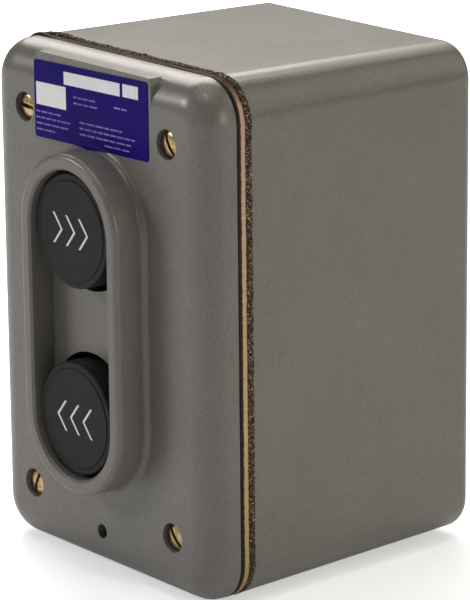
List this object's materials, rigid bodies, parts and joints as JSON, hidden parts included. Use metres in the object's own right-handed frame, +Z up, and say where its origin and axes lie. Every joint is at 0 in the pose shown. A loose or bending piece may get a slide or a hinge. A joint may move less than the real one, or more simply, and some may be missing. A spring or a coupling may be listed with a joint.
{
  "type": "push-button control station",
  "caption": "Cast and gasketed wall box with a guarded pair of spring-return push buttons, each with a plunger and a two-way contact block behind it.",
  "frame": {"origin": "under the middle of the station, at the level of its lowest point", "axes": "+X to the right as seen from the front, +Y from the buttons towards the wall, +Z up"},
  "size_m": [0.0876, 0.0956, 0.1304],
  "materials": {
    "gray_enamel": "semi-gloss gray baking enamel on an as-cast surface",
    "blue_plate": "dark blue printed film with bare white fields",
    "black_rubber": "matte",
    "plated_steel": "steel with yellow chromate plating, pink and gold tints",
    "cork": "dark resin-bound cork, speckled and ragged at its edge",
    "gold_steel": "steel with yellow chromate plating",
    "green_steel": "green dyed steel",
    "brass": "turned brass",
    "spring_wire": "zinc-plated spring wire",
    "block_plastic": "moulded phenolic, satin",
    "cap_plastic": "moulded phenolic, satin",
    "contact_copper": "copper alloy strip with silver tips",
    "zinc_steel": "zinc-plated steel",
    "button_plastic": "moulded black phenolic, matte",
    "pale_plastic": "natural nylon"
  },
  "bodies": {
    "enclosure": {"enclosure_box": "gray_enamel", "front_cover": "gray_enamel", "rating_plate": "blue_plate", "rubber_sheet": "black_rubber", "mounting_plate": "plated_steel", "cork_gasket": "cork", "cover_screws": "gold_steel", "ground_screw": "green_steel", "boot_forward": "black_rubber", "boot_reverse": "black_rubber", "bushing_forward": "brass", "bushing_reverse": "brass", "return_spring_forward": "spring_wire", "return_spring_reverse": "spring_wire", "block_housing_forward": "block_plastic", "block_housing_reverse": "block_plastic", "block_cap_forward": "cap_plastic", "block_cap_reverse": "cap_plastic", "closed_contacts_forward": "contact_copper", "closed_contacts_reverse": "contact_copper", "open_contacts_forward": "contact_copper", "open_contacts_reverse": "contact_copper", "wire_clamps_forward": "plated_steel", "wire_clamps_reverse": "plated_steel", "terminal_screws_forward": "gold_steel", "terminal_screws_reverse": "gold_steel", "block_screws_forward": "zinc_steel", "block_screws_reverse": "zinc_steel"},
    "forward_button": {"button_forward": "button_plastic", "stem_clip_forward": "zinc_steel", "plunger_forward": "pale_plastic", "plunger_ring_forward": "zinc_steel"},
    "reverse_button": {"button_reverse": "button_plastic", "stem_clip_reverse": "zinc_steel", "plunger_reverse": "pale_plastic", "plunger_ring_reverse": "zinc_steel"},
    "forward_bridge": {"contact_bridge_forward": "contact_copper", "contact_spring_forward": "spring_wire"},
    "reverse_bridge": {"contact_bridge_reverse": "contact_copper", "contact_spring_reverse": "spring_wire"}
  },
  "joints": [
    {"name": "forward_button_slide", "type": "slide", "parent": "enclosure", "child": "forward_button", "axis": [0, 1, 0], "range_m": [0, 0.0045], "stiffness_N_per_m": 500, "springref_m": -0.006, "deforming": ["return_spring_forward", "boot_forward"]},
    {"name": "reverse_button_slide", "type": "slide", "parent": "enclosure", "child": "reverse_button", "axis": [0, 1, 0], "range_m": [0, 0.0045], "stiffness_N_per_m": 500, "springref_m": -0.006, "deforming": ["return_spring_reverse", "boot_reverse"]},
    {"name": "forward_bridge_slide", "type": "slide", "parent": "forward_button", "child": "forward_bridge", "axis": [0, 1, 0], "range_m": [-0.0015, 0], "deforming": ["contact_spring_forward"]},
    {"name": "reverse_bridge_slide", "type": "slide", "parent": "reverse_button", "child": "reverse_bridge", "axis": [0, 1, 0], "range_m": [-0.0015, 0], "deforming": ["contact_spring_reverse"]}
  ],
  "couplings": [
    {"joint": "forward_bridge_slide", "follows": "forward_button_slide", "ratio": -0.33333},
    {"joint": "reverse_bridge_slide", "follows": "reverse_button_slide", "ratio": -0.33333}
  ]
}
